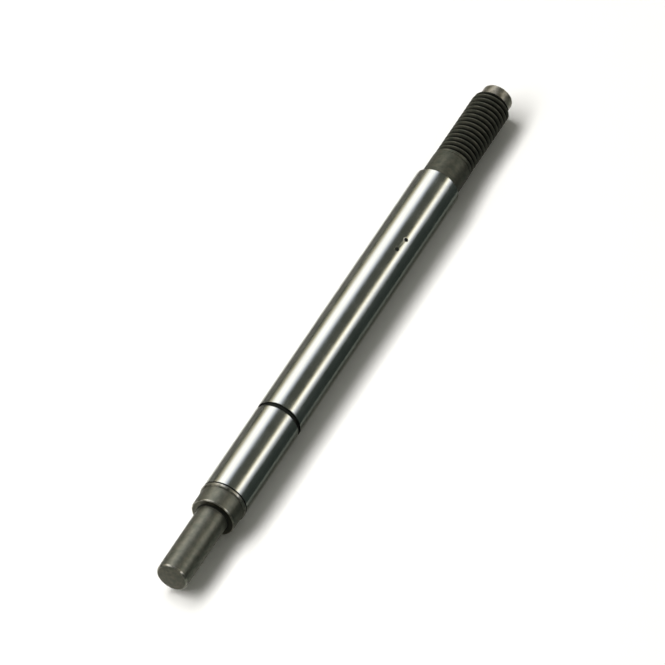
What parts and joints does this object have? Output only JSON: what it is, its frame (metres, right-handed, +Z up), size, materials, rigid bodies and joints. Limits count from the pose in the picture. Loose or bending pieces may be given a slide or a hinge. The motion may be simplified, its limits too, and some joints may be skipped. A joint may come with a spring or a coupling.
{
  "type": "threaded shaft",
  "caption": "Stepped steel rod with a ground journal, end pin and collar, shoulder ring, snap-ring groove, plain neck, threaded end and dog point.",
  "frame": {"origin": "under the middle of the rod's length, on the surface that it lies on", "axes": "+X along the rod from the end pin to the threaded end, +Z up from the surface that it lies on"},
  "size_m": [0.2046, 0.0142, 0.0142],
  "materials": {
    "ground_steel": "cylindrically ground on the journal, dark as turned and heat treated on the pin, collar, neck, thread and dog"
  },
  "bodies": {
    "root": {"ground_rod": "ground_steel"}
  },
  "joints": []
}
